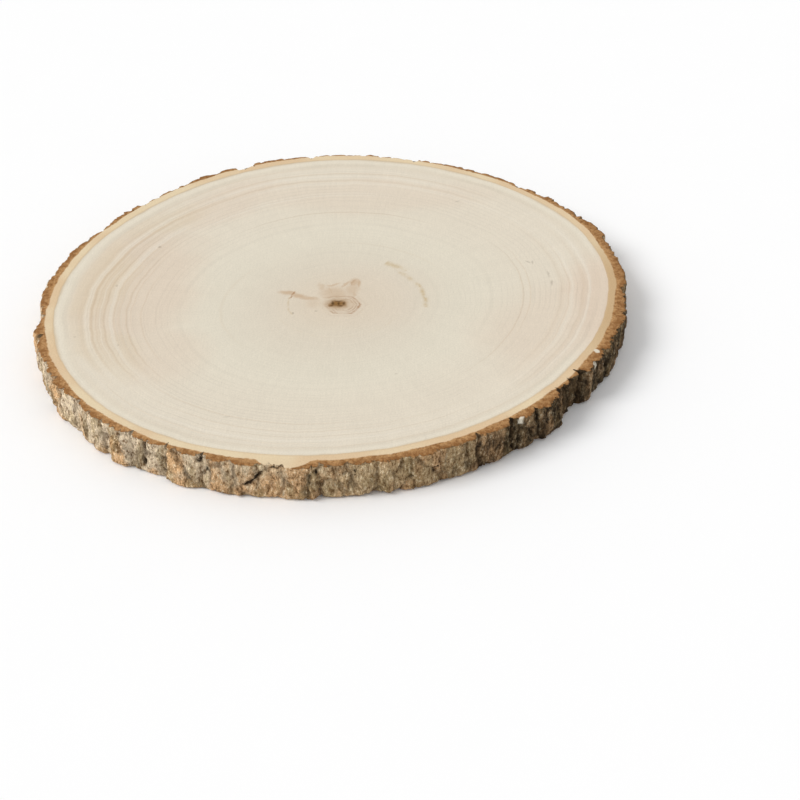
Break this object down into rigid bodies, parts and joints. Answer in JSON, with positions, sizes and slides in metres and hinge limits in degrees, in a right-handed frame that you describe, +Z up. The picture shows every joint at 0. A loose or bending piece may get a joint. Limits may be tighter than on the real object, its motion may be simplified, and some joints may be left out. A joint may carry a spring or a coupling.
{
  "type": "wood slice",
  "caption": "Round slice sawn straight across a log: flat pale end-grain faces with growth rings, and rough bark left on all round the rim, for use as a stand, board or table centrepiece.",
  "frame": {"origin": "centre of the underside, under the middle of the slice's bounding box", "axes": "+Z up through the slice, square to both sawn faces; +Y away from the side that the picture shows in front, +X to that view's right"},
  "size_m": [0.3204, 0.3238, 0.02],
  "materials": {
    "sawn_wood": "matt sanded end grain, pale cream with faint growth rings and a small brown pith",
    "bark": "rough grey-brown outer bark in upright plates with dark fissures, caramel brown where the saw cut it"
  },
  "bodies": {
    "root": {"wood_slice": "sawn_wood"}
  },
  "joints": []
}
